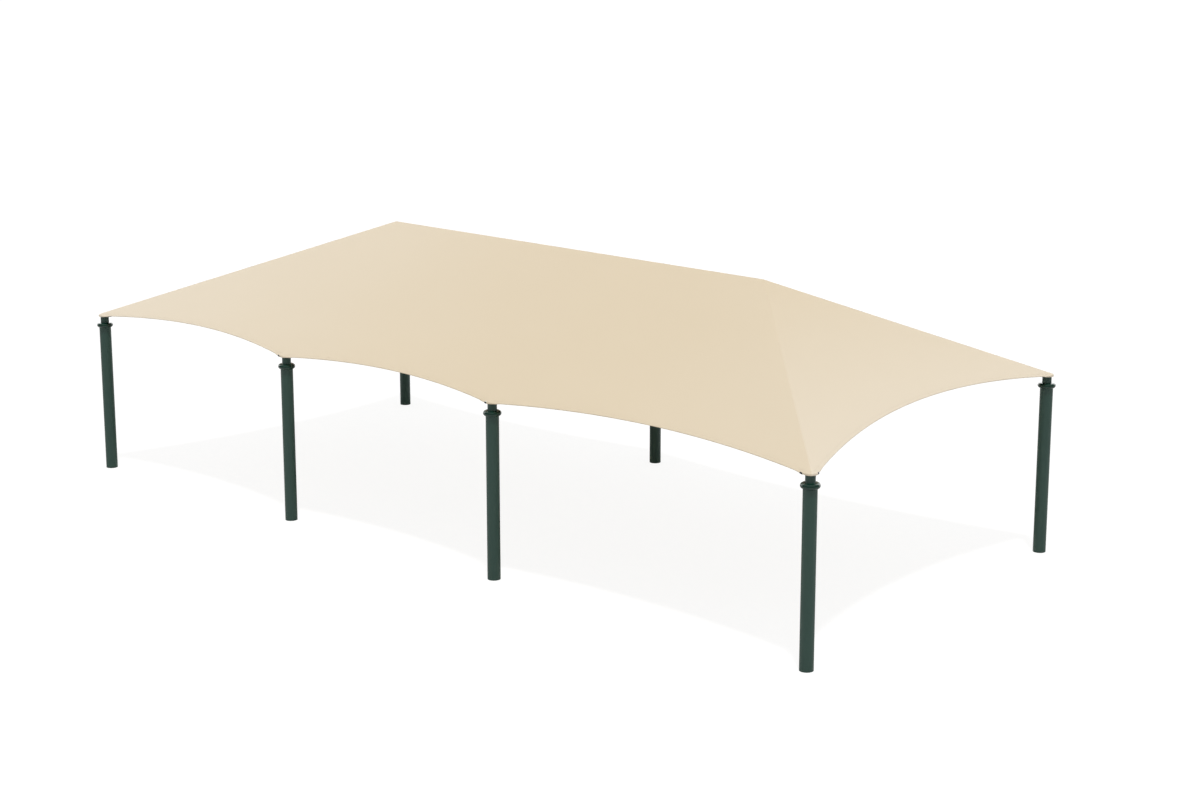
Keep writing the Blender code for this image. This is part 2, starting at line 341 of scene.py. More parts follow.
@dataclass(frozen=True)
class ShadeCloth:
    """Knitted shade cloth: fine ribs up the slope and slubs, with painted light: paler towards both sides
    and on the right end.
    """

    name: str = "beige_knitted_shade_cloth"
    colour: Colour = (0.730, 0.619, 0.453)
    # Painted light: the cloth is painted paler towards the left and right ends and on the right hip end,
    # standing in for how the light falls on the slopes.
    left_painted_light: float = 0.160
    left_span: tuple[float, float] = (2.1, -9.6)
    right_painted_light: float = 0.045
    right_span: tuple[float, float] = (3.0, 8.0)
    end_step: float = 0.012
    end_gain: float = 0.033
    end_from: float = 5.6
    crease_height: float = 0.006
    cloud_scale: float = 0.55
    cloud: float = 0.03
    rib_pitch: float = 0.0032
    rib_depth: float = 0.00035
    rib_share: float = 0.7
    stitch_pitch: float = 0.0045
    stitch_lean: float = 1.5
    slub_scale: float = 60.0
    slub_stretch: tuple[float, float, float] = (6.0, 0.5, 1.0)
    slub_shade: float = 0.975
    slub_share: float = 0.5
    wave_scale: float = 1.1
    wave_stretch: tuple[float, float, float] = (1.0, 1.0, 0.2)
    wave_depth: float = 0.006

    def _right_end_painted_light(self, x: Value, y: Value, planes: np.ndarray) -> Value:
        """Painted light on the right end: paler there, with a step up at its two hips, and nothing
        elsewhere.

        Args:
            x: Metres to the right.
            y: Metres to the back.
            planes: The roof's four planes, front, right, back and left.

        Returns:
            The share of white to add to the cloth's colour as painted light.
        """
        steps = []
        for side in (0, 2):
            kx, ky, height = (float(part) for part in planes[side] - planes[1])
            steps.append((x * kx + y * ky + height).between(-self.crease_height, self.crease_height))
        return steps[0] * steps[1] * ((x - self.end_from) * self.end_gain + self.end_step)

    def material(self, planes: np.ndarray) -> bpy.types.Material:
        """Builds the cloth's material.

        Args:
            planes: The roof's four planes, front, right, back and left.

        Returns:
            The material.
        """
        graph = SurfaceGraph(self.name)
        panel = graph.own_map(CanopySheet.PANEL_MAP)
        along, up, _ = graph.split(panel)
        x, y, _ = graph.split(graph.place)
        rib = (along * (TURN / self.rib_pitch)).sine().absolute()
        loop = (up * (TURN / self.stitch_pitch) + rib * self.stitch_lean).wave()
        knit = rib * self.rib_share + loop * (1 - self.rib_share)
        slub = graph.noise(panel, self.slub_scale, stretch=self.slub_stretch)
        # Painted light: paler towards both ends of the roof.
        sides = x.between(*self.left_span) * self.left_painted_light + x.between(*self.right_span) * self.right_painted_light
        cloud = graph.noise(graph.place, self.cloud_scale)
        # Painted light from the sides and the right end, plus random mottle in tone.
        painted_light_and_mottle = sides + self._right_end_painted_light(x, y, planes) + (cloud - 0.5) * self.cloud
        dyed = graph.mix_colour(slub * self.slub_share, scaled(self.colour, self.slub_shade), self.colour)
        colour = graph.mix_colour(painted_light_and_mottle, dyed, WHITE)
        wave = graph.noise(graph.place, self.wave_scale, stretch=self.wave_stretch)
        return graph.finish(
            Base_Color=colour,
            Roughness=0.85,
            Normal=graph.bump(knit, self.rib_depth, graph.bump(wave, self.wave_depth)),
            Specular_IOR_Level=0.25,
            Sheen_Weight=0.12,
            Sheen_Roughness=0.5,
        )


@dataclass(frozen=True)
class Thread:
    """Bonded polyester sewing thread, with its twist."""

    name: str = "beige_sewing_thread"
    colour: Colour = (0.62, 0.51, 0.36)
    groove_shade: float = 0.8
    groove_depth: float = 0.0001
    turns: float = 5200.0
    shading: float = 0.35
    roughness: float = 0.6

    def material(self) -> bpy.types.Material:
        """Builds the thread's material.

        Returns:
            The material.
        """
        graph = SurfaceGraph(self.name)
        x, y, z = graph.split(graph.place)
        twist = ((x + y + z) * self.turns).wave()
        colour = graph.mix_colour(twist * self.shading, self.colour, scaled(self.colour, self.groove_shade))
        return graph.finish(
            Base_Color=colour,
            Roughness=self.roughness,
            Normal=graph.bump(twist, self.groove_depth),
        )


@dataclass(frozen=True)
class GalvanisedWire:
    """Zinc-coated rope wire, dulled by weather, with painted shade in the valleys between its strands."""

    name: str = "galvanised_wire"
    colour: Colour = (0.40, 0.41, 0.42)
    lay: float = 0.058
    strands: int = 6
    wires: int = 42
    wire_turns: int = 30
    wire_share: float = 0.2
    strand_round: float = 0.6
    # Painted shade: how dark the valleys between strands and wires are painted.
    groove_shade: float = 0.35
    groove_depth: float = 0.0012
    bloom_scale: float = 70.0
    roughness: float = 0.32
    roughness_spread: float = 0.2

    def material(self) -> bpy.types.Material:
        """Builds the wire's material. Its grooves follow the rope's own UV map, in metres and turns.

        Returns:
            The material.
        """
        graph = SurfaceGraph(self.name)
        length, turn, _ = graph.split(graph.own_map(EdgeCable.ROPE_MAP))
        strands = ((turn * self.strands + length * (self.strands / self.lay)) * TURN).wave()
        wires = ((turn * self.wires - length * (self.wire_turns / self.lay)) * TURN).wave()
        grooves = strands.raised(self.strand_round) * (1 - self.wire_share) + wires * self.wire_share
        bloom = graph.noise(graph.place, self.bloom_scale, detail=3.0)
        # Painted shade in the valleys between strands, and random dull patches from the bloom.
        colour = graph.mix_colour(grooves * bloom, scaled(self.colour, self.groove_shade), self.colour)
        return graph.finish(
            Base_Color=colour,
            Metallic=1.0,
            Roughness=bloom * self.roughness_spread + self.roughness,
            Normal=graph.bump(grooves, self.groove_depth),
        )


@dataclass(frozen=True)
class BlackHose:
    """Black reinforced hose, slightly greyed outdoors."""

    name: str = "black_cable_sleeve"
    colour: Colour = (0.012, 0.012, 0.012)
    greyed: Colour = (0.03, 0.029, 0.027)
    bloom_scale: float = 90.0
    bloom_depth: float = 0.0004
    bloom_share: float = 0.5
    roughness: float = 0.45
    roughness_spread: float = 0.2

    def material(self) -> bpy.types.Material:
        """Builds the hose's material.

        Returns:
            The material.
        """
        graph = SurfaceGraph(self.name)
        bloom = graph.noise(graph.place, self.bloom_scale, detail=3.0)
        return graph.finish(
            Base_Color=graph.mix_colour(bloom * self.bloom_share, self.colour, self.greyed),
            Roughness=bloom * self.roughness_spread + self.roughness,
            Normal=graph.bump(bloom, self.bloom_depth),
        )


@dataclass(frozen=True)
class ZincFastener:
    """Bright zinc on bolts and washers."""

    name: str = "zinc_plated_bolt"
    colour: Colour = (0.55, 0.56, 0.57)
    dull_shade: float = 0.7
    bloom_scale: float = 180.0
    roughness: float = 0.25
    roughness_spread: float = 0.2

    def material(self) -> bpy.types.Material:
        """Builds the zinc's material.

        Returns:
            The material.
        """
        graph = SurfaceGraph(self.name)
        bloom = graph.noise(graph.place, self.bloom_scale, detail=3.0)
        return graph.finish(
            Base_Color=graph.mix_colour(bloom, scaled(self.colour, self.dull_shade), self.colour),
            Metallic=1.0,
            Roughness=bloom * self.roughness_spread + self.roughness,
        )


@dataclass(frozen=True)
class StudioFloor:
    """Smooth white floor, exposed so brightly that only the shade's shadow shows on it."""

    name: str = "white_studio_floor"
    reflect: float = 0.15
    glow: float = 0.893
    glow_colour: Colour = (1.0, 0.999, 0.996)
    bounce: float = 0.72
    cloud: float = 0.01
    cloud_scale: float = 0.05

    def material(self) -> bpy.types.Material:
        """Builds the floor's material: overexposed to the camera, plain white paint to all other rays.

        Returns:
            The material.
        """
        graph = SurfaceGraph(self.name)
        cloud = graph.noise(graph.place, self.cloud_scale)
        grey = scaled(WHITE, self.reflect)
        tint = graph.mix_colour(cloud, grey, scaled(grey, 1 + self.cloud))
        seen = graph.value(
            "ShaderNodeBsdfPrincipled",
            {},
            {
                "Base Color": tint,
                "Roughness": 1.0,
                "Specular IOR Level": 0.0,
                "Emission Color": self.glow_colour,
                "Emission Strength": self.glow,
            },
        )
        plain = graph.value("ShaderNodeBsdfDiffuse", {}, {"Color": scaled(WHITE, self.bounce)})
        camera = graph.value("ShaderNodeLightPath", output="Is Camera Ray")
        mixed = graph.value("ShaderNodeMixShader", {}, {0: camera, 1: plain, 2: seen})
        graph.node("ShaderNodeOutputMaterial", {}, {"Surface": mixed})
        return graph.material


# Making and handing over pieces


def new_object(name: str, mesh: bpy.types.Mesh) -> bpy.types.Object:
    """Links a new object at the origin.

    Args:
        name: The object's name.
        mesh: Its mesh.

    Returns:
        The object.
    """
    obj = bpy.data.objects.new(name, mesh)
    bpy.context.scene.collection.objects.link(obj)
    return obj


def plain_mesh(obj: bpy.types.Object) -> bpy.types.Object:
    """Turns an object's evaluated modifiers into a plain mesh.

    Args:
        obj: The object with live modifiers.

    Returns:
        The same object, with the result as its mesh and no modifier.
    """
    bpy.context.view_layer.update()
    depsgraph = bpy.context.evaluated_depsgraph_get()
    mesh = bpy.data.meshes.new_from_object(obj.evaluated_get(depsgraph), depsgraph=depsgraph)
    obj.modifiers.clear()
    obj.data = mesh
    return obj


def paint(obj: bpy.types.Object, material: bpy.types.Material) -> None:
    """Gives all faces of an object one material."""
    obj.data.materials.clear()
    obj.data.materials.append(material)


def hand_over(
    obj: bpy.types.Object, material: Optional[bpy.types.Material] = None
) -> bpy.types.Object:
    """Gives a piece its body, and its material if one is named.

    Args:
        obj: The finished piece.
        material: The material of all its faces.

    Returns:
        The piece.
    """
    if material is not None:
        paint(obj, material)
    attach(obj, BODY)
    log.info("%s: %d faces", obj.name, len(obj.data.polygons))
    return obj


def shade_smooth(mesh: bpy.types.Mesh, sharp_over: float) -> None:
    """Smooths a mesh, apart from edges sharper than an angle in degrees."""
    mesh.polygons.foreach_set("use_smooth", [True] * len(mesh.polygons))
    mesh.set_sharp_from_angle(angle=math.radians(sharp_over))


def tube_mesh(
    name: str,
    path: np.ndarray,
    radii: np.ndarray,
    sides: int,
    closed: bool,
    rope_map: str,
    sharp_over: float = 50.0,
) -> bpy.types.Mesh:
    """A round tube along a path, with a UV map of metres along it and turns round it.

    Args:
        name: The mesh's name.
        path: Points of its axis, one in each row.
        radii: Its radius at each point.
        sides: Number of its sides.
        closed: Whether its end joins its start. Otherwise its ends are capped.
        rope_map: The UV map's name.
        sharp_over: The angle over which an edge stays sharp, in degrees.

    Returns:
        The mesh, with its faces outwards.
    """
    count = len(path)
    ahead = np.roll(path, -1, axis=0) - path
    behind = path - np.roll(path, 1, axis=0)
    if not closed:
        ahead[-1] = behind[-1]
        behind[0] = ahead[0]
    along = unit(unit(ahead) + unit(behind))
    side = unit(np.cross(along, UP))
    up = np.cross(side, along)
    angles = np.arange(sides) * (TURN / sides)
    ring = np.cos(angles)[None, :, None] * side[:, None, :] + np.sin(angles)[None, :, None] * up[:, None, :]
    verts = (path[:, None, :] + radii[:, None, None] * ring).reshape(-1, 3)
    lengths = np.concatenate([[0.0], np.cumsum(np.linalg.norm(path[1:] - path[:-1], axis=1))])
    faces: list[list[int]] = []
    maps: list[tuple[float, float]] = []
    for i in range(count if closed else count - 1):
        j = (i + 1) % count
        end = lengths[j] if j else lengths[-1] + float(np.linalg.norm(path[0] - path[-1]))
        for k in range(sides):
            m = (k + 1) % sides
            faces.append([i * sides + k, i * sides + m, j * sides + m, j * sides + k])
            low, high = k / sides, (k + 1) / sides
            maps += [(lengths[i], low), (lengths[i], high), (end, high), (end, low)]
    if not closed:
        faces.append(list(range(sides))[::-1])
        faces.append([(count - 1) * sides + k for k in range(sides)])
        maps += [(0.0, 0.0)] * sides + [(float(lengths[-1]), 0.0)] * sides
    mesh = bpy.data.meshes.new(name)
    mesh.from_pydata(verts.tolist(), [], faces)
    layer = mesh.uv_layers.new(name=rope_map)
    layer.data.foreach_set("uv", [part for pair in maps for part in pair])
    shade_smooth(mesh, sharp_over)
    return mesh


def unit(vectors: np.ndarray) -> np.ndarray:
    """Vectors, one in each row, made one metre long."""
    return vectors / np.linalg.norm(vectors, axis=-1, keepdims=True)


def ease(values: np.ndarray, low: float, high: float) -> np.ndarray:
    """Rises smoothly from 0 at low to 1 at high."""
    part = np.clip((np.asarray(values, float) - low) / (high - low), 0, 1)
    return part * part * (3 - 2 * part)


# The roof's plan and surface


def ray(angle: float) -> np.ndarray:
    """The plan direction of an angle."""
    return np.array([math.cos(angle), math.sin(angle)])


def heading(direction: np.ndarray) -> float:
    """The angle of a plan direction."""
    return math.atan2(direction[1], direction[0])


def segment_axes(a: np.ndarray, b: np.ndarray) -> tuple[float, np.ndarray, np.ndarray]:
    """Measures a plan segment.

    Args:
        a: Its start.
        b: Its end.

    Returns:
        Its length, its direction and the direction to its left.
    """
    length = float(np.linalg.norm(b - a))
    along = (b - a) / length
    return length, along, np.array([-along[1], along[0]])


@dataclass
class Post:
    """One post's plan place, its fabric's height, and the lip's notches before and after it.

    A notch is the distance from the head to its middle, or None where the lip has no notch.
    """

    name: str
    axis: np.ndarray
    eave: float
    sag_after: float
    notches: Notches


@dataclass
class Edge:
    """Stations round the canopy's scalloped edge, anticlockwise, on the cable's line in plan.

    The notch is each station's distance from the middle of its head's notch, or not a number.
    """

    place: np.ndarray
    out: np.ndarray
    eave: np.ndarray
    past_head: np.ndarray
    notch: np.ndarray


@dataclass
class Roof:
    """The canopy's plan and upper surface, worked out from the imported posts."""

    CREASES = 5
    front_eave: float = 3.07
    back_eave: float = 3.165
    ridge_z: float = 4.86
    ridge_inset: tuple[float, float] = (4.26, 3.88)
    cable_wrap: float = 0.100
    front_sags: tuple[float, ...] = (0.285, 0.235, 0.27)
    right_sag: float = 0.505
    back_sags: tuple[float, ...] = (0.41, 0.34)
    left_sag: float = 0.49
    ridge_fillet: float = 0.016
    hip_fillet: float = 0.0125
    dish: float = 0.050
    dish_reach: float = 0.8
    fine_step: float = 0.0125
    fine_reach: float = 0.15
    coarse_step: float = 0.15
    growth: float = 1.22
    wrap_step: float = math.radians(6)
    notches: dict[str, Notches] = field(
        default_factory=lambda: {
            "front_1": (0.0375, None),
            "front_2": (0.0875, None),
            "front_3": (0.0375, None),
            "front_4": (0.0875, 0.0375),
            "back_3": (None, 0.0375),
            "back_2": (0.0625, None),
            "back_1": (0.0375, None),
        }
    )
    posts: list[Post] = field(init=False)
    ridge: np.ndarray = field(init=False)
    planes: np.ndarray = field(init=False)
    edge: Edge = field(init=False)

    def __post_init__(self) -> None:
        """Reads the frame and works out the planes and the edge."""
        sags = [*self.front_sags, self.right_sag, *self.back_sags, self.left_sag]
        self.posts = []
        for (name, pair), sag in zip(self.notches.items(), sags):
            low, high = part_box("post_" + name)
            axis = np.array([(low[0] + high[0]) / 2, (low[1] + high[1]) / 2])
            eave = self.front_eave if name.startswith("front") else self.back_eave
            self.posts.append(Post(name, axis, eave, sag, pair))
        left, right = (self.post(name).axis[0] for name in ("front_1", "front_4"))
        self.ridge = np.array([[left + self.ridge_inset[0], 0.0], [right - self.ridge_inset[1], 0.0]])
        self.planes = self._slopes()
        self.edge = self._stations()

    def post(self, name: str) -> Post:
        """The post of a name such as front_1."""
        return next(post for post in self.posts if post.name == name)

    def _slopes(self) -> np.ndarray:
        """Fits a plane to each slope's two corners and ridge end.

        Returns:
            A row of slopes kx and ky and height k for each plane: front, right, back and left.
        """
        left, right = self.ridge
        corners = [
            ("front_1", "front_4", left),
            ("front_4", "back_3", right),
            ("back_3", "back_1", right),
            ("back_1", "front_1", left),
        ]
        planes = []
        for first, last, top in corners:
            points = [(*self.post(name).axis, self.post(name).eave) for name in (first, last)]
            points.append((*top, self.ridge_z))
            matrix = np.array([[x, y, 1.0] for x, y, _ in points])
            planes.append(np.linalg.solve(matrix, np.array([z for _, _, z in points])))
        return np.array(planes)

    def _bay(self, a: Post, b: Post) -> tuple[np.ndarray, float]:
        """A bay's outward direction, and how far its edge leans from its chord at its ends."""
        length, _, left = segment_axes(a.axis, b.axis)
        return -left, math.atan2(4 * a.sag_after, length)

    def _distances(self, length: float) -> np.ndarray:
        """Sets the stations along a bay.

        Args:
            length: The bay's length.

        Returns:
            Distances from the bay's start, close-set beside the heads and wider between them.
        """
        half = [0.0]
        step = self.fine_step
        while half[-1] + step < length / 2:
            half.append(half[-1] + step)
            if half[-1] > self.fine_reach:
                step = min(step * self.growth, self.coarse_step)
        return np.array(half + [length / 2] + [length - item for item in reversed(half)])

    def _stations(self) -> Edge:
        """Walks round the edge, along each head's arc and each bay's parabola.

        Returns:
            The edge.
        """
        stations: list[Station] = []
        for i, post in enumerate(self.posts):
            before, after = self.posts[i - 1], self.posts[(i + 1) % len(self.posts)]
            stations += self._arc(before, post, after)
            stations += self._parabola(stations[-1][0], post, after)
        return Edge(*(np.array(column) for column in zip(*stations)))

    def _arc(self, before: Post, post: Post, after: Post) -> list[Station]:
        """Walks round a head.

        Args:
            before: The post before it.
            post: Its own post.
            after: The post after it.

        Returns:
            Its stations.
        """
        out_before, lean_before = self._bay(before, post)
        out_after, lean_after = self._bay(post, after)
        start = heading(out_before) - lean_before
        end = heading(out_after) + lean_after
        while end < start:
            end += TURN
        return [
            (post.axis + ray(angle) * self.cable_wrap, ray(angle), post.eave, 0.0, math.nan)
            for angle in np.linspace(start, end, math.ceil((end - start) / self.wrap_step) + 1)
        ]

    def _parabola(self, first: np.ndarray, post: Post, after: Post) -> list[Station]:
        """Walks along a bay.

        Args:
            first: The last place on the head before it.
            post: The post before it.
            after: The post after it.

        Returns:
            Its stations.
        """
        outward, lean = self._bay(post, after)
        chord = after.axis + self.cable_wrap * ray(heading(outward) - lean) - first
        length = float(np.linalg.norm(chord))
        stations = []
        for distance in self._distances(length)[1:-1]:
            t = distance / length
            place = first + chord * t - outward * (4 * post.sag_after * t * (1 - t))
            along = chord - outward * (4 * post.sag_after * (1 - 2 * t))
            near_end = 2 * t > 1
            past = length - distance if near_end else distance
            eave = after.eave if near_end else post.eave
            middle = after.notches[0] if near_end else post.notches[1]
            notch = math.nan if middle is None else abs(past - middle)
            stations.append((place, unit(np.array([along[1], -along[0]])), eave, past, notch))
        return stations

    def _plane_heights(self, plan: np.ndarray) -> np.ndarray:
        """Heights of the four planes, one in each row, over plan points."""
        return self.planes[:, :2] @ plan.T + self.planes[:, 2:3]

    def under(self, plan: np.ndarray, depth: float) -> np.ndarray:
        """Heights of the surface this deep, square to the slopes, under the flat slopes."""
        drops = depth * np.sqrt(1 + (self.planes[:, :2] ** 2).sum(axis=1))
        return (self._plane_heights(plan) - drops[:, None]).min(axis=0)

    def side_of(self, point: np.ndarray) -> int:
        """Number of the slope that a plan point lies on."""
        return int(np.argmin(self._plane_heights(point[None, :])[:, 0]))

    @staticmethod
    def _soft_min(a: np.ndarray, b: np.ndarray, width: float) -> np.ndarray:
        """The lower of two heights, with the crease between them rounded."""
        overlap = np.maximum(width - np.abs(a - b), 0)
        return np.minimum(a, b) - overlap * overlap / (4 * width)

    def supports(self) -> list[tuple[np.ndarray, np.ndarray]]:
        """Finds the pipes that carry the cloth.

        Returns:
            The two ends of each in plan: the creases, which are the ridge and four hips, and
            then three mid rafters.
        """
        left, right = self.ridge
        lines = [(left, right)]
        lines += [(self.post(name).axis, left) for name in ("front_1", "back_1")]
        lines += [(self.post(name).axis, right) for name in ("front_4", "back_3")]
        for name in ("front_2", "front_3", "back_2"):
            axis = self.post(name).axis
            lines.append((axis, np.array([axis[0], left[1]])))
        return lines

    @staticmethod
    def to_segment(plan: np.ndarray, a: np.ndarray, b: np.ndarray) -> np.ndarray:
        """Distances of plan points to a segment."""
        t = np.clip((plan - a) @ (b - a) / ((b - a) @ (b - a)), 0, 1)
        return np.linalg.norm(plan - (a + t[:, None] * (b - a)), axis=1)

    def to_edge(self, plan: np.ndarray) -> np.ndarray:
        """Measures how far plan points are from the cable's line.

        Args:
            plan: Plan points, one in each row.

        Returns:
            Their distances.
        """
        best = np.full(len(plan), np.inf)
        place = self.edge.place
        for a, b in zip(place, np.roll(place, -1, axis=0)):
            best = np.minimum(best, self.to_segment(plan, a, b))
        return best

    def height(self, plan: np.ndarray) -> np.ndarray:
        """Finds the cloth's upper face, dished between its supports.

        Args:
            plan: Plan points, one in each row.

        Returns:
            Their heights.
        """
        front, right, back, left = self._plane_heights(plan)
        long_sides = self._soft_min(front, back, self.ridge_fillet)
        surface = self._soft_min(long_sides, np.minimum(left, right), self.hip_fillet)
        depth = np.full(len(plan), self.dish)
        reach = self.dish_reach**2
        for a, b in self.supports():
            squared = self.to_segment(plan, a, b) ** 2
            depth *= squared / (squared + reach)
        squared = self.to_edge(plan) ** 2
        return surface - depth * squared / (squared + reach)


# Cloth


@dataclass
class CanopySheet:
    """One sewn sheet over all four slopes, with its hem rolled round the edge cable.

    Round the heads the roll opens into a lip: it turns down over the saddle in a quarter round and
    falls straight past the cable. Beside them the lip is cut away over a short notch.
    """

    PANEL_MAP = "panel_metres"
    roof: Roof
    cloth: ShadeCloth
    thickness: float = 0.0018
    cable_depth: float = 0.00805
    roll_radius: float = 0.00805
    roll_bottom: float = math.radians(-112)
    roll_steps: int = 10
    lip_steps: int = 3
    lip_centre: tuple[float, float] = (-0.012, 0.007)
    lip_radius: float = 0.022
    lip_bottom: float = -0.0075
    lip_reach: float = 0.15
    head_reach: float = 0.25
    notch_half: float = 0.0251
    notch_rows: int = 8
    flap_start: float = 0.115
    saddle_drop: float = 0.065
    band: tuple[float, ...] = (0.010, 0.020, 0.032, 0.044, 0.056, 0.068, 0.078)
    flap: tuple[tuple[float, float], ...] = (
        (0.060, 0.0046), (0.045, 0.0046), (0.034, 0.0056), (0.022, 0.0085), (0.012, 0.0125),
    )
    grid: float = 0.13
    crease_rows: int = 2
    crease_clear: float = 0.03
    border_clear: float = 0.035
    line_clear: float = 0.003
    join_within: float = 1e-6
    slope_probe: float = 0.02
    sharp_over: float = 55.0
    flat: tuple[float, float] = (8.45, 18.0)
    flat_area: float = 132.0

    def cable_axis(self) -> np.ndarray:
        """The cable's axis at the edge's stations: on the saddles, and in the hem between.

        Returns:
            Points, one for each station.
        """
        edge = self.roof.edge
        hem = self.roof.under(edge.place, self.cable_depth)
        saddle = edge.eave - self.saddle_drop
        near = 1 - ease(edge.past_head, 0.0, self.head_reach)
        return np.column_stack([edge.place, hem + (saddle - hem) * near])

    def _edge_frames(self) -> tuple[np.ndarray, np.ndarray, np.ndarray]:
        """The frames that the hem's roll turns through.

        Returns:
            The cable's axis, and the outward and upward directions at each of its points.
        """
        edge = self.roof.edge
        axis = self.cable_axis()
        ahead = unit(np.roll(axis, -1, axis=0) - np.roll(axis, 1, axis=0))
        probe = edge.out * self.slope_probe
        rise = self.roof.under(edge.place + probe, 0) - self.roof.under(edge.place - probe, 0)
        fall = rise / (2 * self.slope_probe)
        out = unit(np.column_stack([edge.out, fall]))
        out = unit(out - (out * ahead).sum(axis=1, keepdims=True) * ahead)
        up = unit(np.cross(out, ahead))
        up *= np.sign(up[:, 2:3])
        return axis, out, up

    def _lip_profile(self) -> list[tuple[float, float]]:
        """The lip's section.

        Returns:
            Points from its bottom to its top, outward and up from the cable's axis.
        """
        across, rise = self.lip_centre
        fall = np.linspace(self.lip_bottom, rise, self.lip_steps + 1)[:-1]
        points = [(across + self.lip_radius, height) for height in fall]
        for angle in np.linspace(0, math.pi / 2, self.roll_steps - self.lip_steps + 1):
            points.append(
                (across + self.lip_radius * math.cos(angle), rise + self.lip_radius * math.sin(angle))
            )
        return points

    def roll_rows(self) -> list[np.ndarray]:
        """The hem's roll, opened into a lip beside the heads.

        Returns:
            Rows from its bottom to its top, with one point for each station.
        """
        axis, out, up = self._edge_frames()
        level = np.column_stack([self.roof.edge.out, np.zeros(len(axis))])
        near = (1 - ease(self.roof.edge.past_head, 0.0, self.lip_reach))[:, None]
        angles = np.linspace(self.roll_bottom, math.pi / 2, self.roll_steps + 1)
        rows = []
        for angle, (across, rise) in zip(angles, self._lip_profile()):
            roll = self.roll_radius * (math.cos(angle) * out + math.sin(angle) * up)
            lip = across * level + rise * UP
            rows.append(axis + (1 - near) * roll + near * lip)
        return rows

    def sheet_at(self, inward: float, top: np.ndarray) -> np.ndarray:
        """A row of the sheet's upper face this far in from the cable's line.

        Args:
            inward: Distance in plan from the cable's line.
            top: The roll's top row, which the sheet runs down to.

        Returns:
            Points, one for each station.
        """
        edge = self.roof.edge
        plan = edge.place - edge.out * inward
        start = np.einsum("ij,ij->i", edge.place - top[:, :2], edge.out)
        flat_top = self.roof.height(top[:, :2])
        sink = flat_top - top[:, 2]
        share = 1 - ease(np.full(len(start), inward), start, np.full(len(start), self.band[-1]))
        return np.column_stack([plan, self.roof.height(plan) - sink * share])

    def _rows(self) -> tuple[list[np.ndarray], int]:
        """All rows of the border, from the flap's inner edge to the border's inner edge.

        Returns:
            The rows, and the number of the roll's first row.
        """
        roll = self.roll_rows()
        rows = []
        for inward, depth in self.flap:
            row = self.sheet_at(inward, roll[-1])
            row[:, 2] -= depth
            rows.append(row)
        first_roll = len(rows)
        rows += roll
        rows += [self.sheet_at(inward, roll[-1]) for inward in self.band]
        return rows, first_roll

    def _keeps(self, row: int, first_roll: int) -> np.ndarray:
        """Which faces the border has between a row and the row after it.

        Args:
            row: The lower row's number.
            first_roll: The number of the roll's first row.

        Returns:
            True for each station that has a face to the next one.
        """
        edge = self.roof.edge
        if row < first_roll:
            kept = edge.past_head > self.flap_start
            return kept & np.roll(kept, -1)
        cut = edge.notch < self.notch_half
        if row < first_roll + self.notch_rows:
            return ~(cut & np.roll(cut, -1))
        return np.ones(len(cut), bool)

    def _inner_plan(self, ring: np.ndarray) -> tuple[list[Vector], list[tuple[int, int]]]:
        """Plan points inside the border: the creases with rows beside them, and a grid.

        Args:
            ring: The border's inner edge in plan.

        Returns:
            The points, and pairs of them that stay joined along the creases.
        """
        points: list[np.ndarray] = []
        joined: list[tuple[int, int]] = []
        lines = self.roof.supports()[: Roof.CREASES]
        for number, (a, b) in enumerate(lines):
            length, along, across = segment_axes(a, b)
            half = self.crease_half_width(number)
            steps = math.ceil(length / self.grid)
            for row in range(-self.crease_rows, self.crease_rows + 1):
                for i in range(steps + 1):
                    point = a + along * (length * i / steps) + across * (half * row / self.crease_rows)
                    if row == 0 and i:
                        joined.append((len(points) - 1, len(points)))
                    points.append(point)
        fixed = np.array(points)
        low, high = ring.min(axis=0), ring.max(axis=0)
        xs = np.arange(low[0], high[0], self.grid)
        ys = np.arange(low[1], high[1], self.grid)
        grid = np.array([(x + (j % 2) * self.grid / 2, y) for j, y in enumerate(ys) for x in xs])
        keep = np.ones(len(grid), bool)
        for number, (a, b) in enumerate(lines):
            keep &= Roof.to_segment(grid, a, b) > self.crease_half_width(number) + self.crease_clear
        keep &= inside(grid, ring)
        grid = grid[keep]
        clear = self.roof.to_edge(grid) > self.band[-1] + self.border_clear
        inner = inside(fixed, ring) & (self.roof.to_edge(fixed) > self.band[-1] + self.line_clear)
        moved = np.cumsum(inner) - 1
        joined = [(int(moved[a]), int(moved[b])) for a, b in joined if inner[a] and inner[b]]
        chosen = np.vstack([fixed[inner], grid[clear]])
        return [Vector(point) for point in chosen], joined

    def crease_half_width(self, line: int) -> float:
        """Half the width over which a crease is rounded.

        Args:
            line: The crease's number: 0 for the ridge, otherwise a hip.

        Returns:
            Half the width.
        """
        planes = self.roof.planes
        if line == 0:
            return self.roof.ridge_fillet / float(np.linalg.norm(planes[0, :2] - planes[2, :2]))
        return self.roof.hip_fillet / float(np.linalg.norm(planes[0, :2] - planes[1, :2]))

    def _mesh(self) -> bpy.types.Mesh:
        """Joins the border's rows and the inner triangles in one open mesh.

        Returns:
            The mesh, with its upper face up and no loose vertices.
        """
        rows, first_roll = self._rows()
        count = len(rows[0])
        faces: list[tuple[int, ...]] = []
        for k in range(len(rows) - 1):
            low, high = k * count, (k + 1) * count
            for i in np.nonzero(self._keeps(k, first_roll))[0].tolist():
                j = (i + 1) % count
                faces.append((low + i, low + j, high + j, high + i))
        border = np.vstack(rows)
        inner, triangles = self._fill(rows[-1][:, :2], len(border))
        mesh = bpy.data.meshes.new("canopy_sheet")
        mesh.from_pydata(np.vstack([border, inner]).tolist(), [], faces + triangles)
        bm = bmesh.new()
        bm.from_mesh(mesh)
        loose = [vert for vert in bm.verts if not vert.link_faces]
        bmesh.ops.delete(bm, geom=loose, context="VERTS")
        bm.to_mesh(mesh)
        bm.free()
        return mesh

